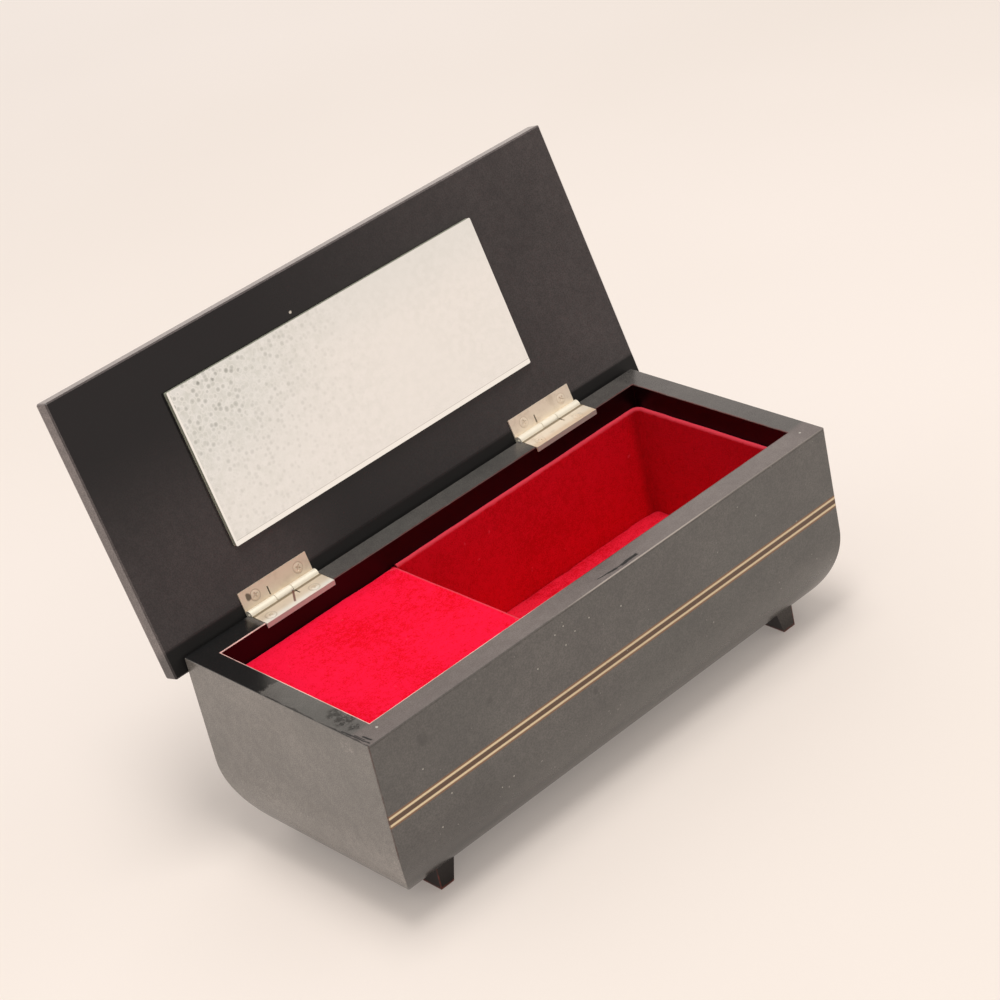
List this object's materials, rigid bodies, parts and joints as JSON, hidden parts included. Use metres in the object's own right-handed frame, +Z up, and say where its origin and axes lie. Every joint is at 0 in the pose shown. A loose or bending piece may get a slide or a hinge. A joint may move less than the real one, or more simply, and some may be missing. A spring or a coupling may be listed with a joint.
{
  "type": "musical jewelry box",
  "caption": "Black lacquered musical jewelry box with walls curving in to small feet, hinged lid with mirror, red velvet compartment and wind-up movement.",
  "frame": {"origin": "on the table under the middle of the case, at the level of the feet's undersides", "axes": "+X along the case's length, the jewelry compartment's side; +Y to the hinged back; +Z up"},
  "size_m": [0.2092, 0.1225, 0.1553],
  "materials": {
    "black_lacquer": "black lacquer over wood, satin gloss",
    "bare_board": "bare board",
    "red_velvet": "velvet pile",
    "nickel": "nickel plated, warm, slightly stained",
    "mirror_glass": "silvered glass, spotted with age",
    "brass": "turned brass",
    "steel": "bright steel",
    "zinc": "die-cast, matt"
  },
  "bodies": {
    "case": {"panel_front": "black_lacquer", "panel_back": "black_lacquer", "panel_left": "black_lacquer", "panel_right": "black_lacquer", "board_bottom": "black_lacquer", "foot_front_left": "black_lacquer", "foot_front_right": "black_lacquer", "foot_back_left": "black_lacquer", "foot_back_right": "black_lacquer", "cover_board": "bare_board", "divider_board": "bare_board", "cleat_front": "bare_board", "cleat_back": "bare_board", "cover_velvet": "red_velvet", "divider_velvet": "red_velvet", "liner_front": "red_velvet", "liner_back": "red_velvet", "liner_right": "red_velvet", "floor_pad": "red_velvet", "hinge_case_leaf_left": "nickel", "hinge_case_leaf_right": "nickel", "hinge_pin_left": "nickel", "hinge_pin_right": "nickel", "hinge_screws_case": "nickel", "bedplate_screws": "steel", "spring_housing": "steel", "mainspring": "steel", "comb": "steel", "comb_screws": "steel", "governor_frame": "steel", "stop_post": "steel", "bedplate": "zinc"},
    "lid": {"lid_panel": "black_lacquer", "mirror": "mirror_glass", "hinge_lid_leaf_left": "nickel", "hinge_lid_leaf_right": "nickel", "hinge_screws_lid": "nickel"},
    "winding": {"winding_arbor": "steel", "winding_key": "steel", "great_wheel": "brass"},
    "cylinder": {"cylinder": "brass", "cylinder_arbor": "steel", "cylinder_wheel": "brass"},
    "governor": {"governor_axle": "brass"},
    "fly": {"governor_worm": "steel", "governor_fly": "steel"},
    "stop": {"stop_lever": "steel"}
  },
  "joints": [
    {"name": "lid_hinge", "type": "hinge", "parent": "case", "child": "lid", "pos_m": [0, 0.04422, 0.0697], "axis": [1, 0, 0], "range_deg": [0, 107.3]},
    {"name": "winding", "type": "hinge", "parent": "case", "child": "winding", "pos_m": [-0.075, 0.002, 0.0175], "axis": [0, 0, 1], "continuous": true},
    {"name": "cylinder_spin", "type": "hinge", "parent": "case", "child": "cylinder", "pos_m": [-0.0366, 0.002, 0.02428], "axis": [1, 0, 0], "continuous": true},
    {"name": "governor_spin", "type": "hinge", "parent": "case", "child": "governor", "pos_m": [-0.0366, 0.0121, 0.02428], "axis": [1, 0, 0], "continuous": true},
    {"name": "fly_spin", "type": "hinge", "parent": "case", "child": "fly", "pos_m": [-0.0341, 0.01905, 0.02428], "axis": [0, 0, 1], "continuous": true},
    {"name": "stop_swing", "type": "hinge", "parent": "case", "child": "stop", "pos_m": [-0.0441, 0.02245, 0.02428], "axis": [0, 0, -1], "range_deg": [0, 10.5]}
  ],
  "couplings": [
    {"joint": "cylinder_spin", "follows": "winding", "ratio": 4},
    {"joint": "governor_spin", "follows": "winding", "ratio": -12}
  ]
}
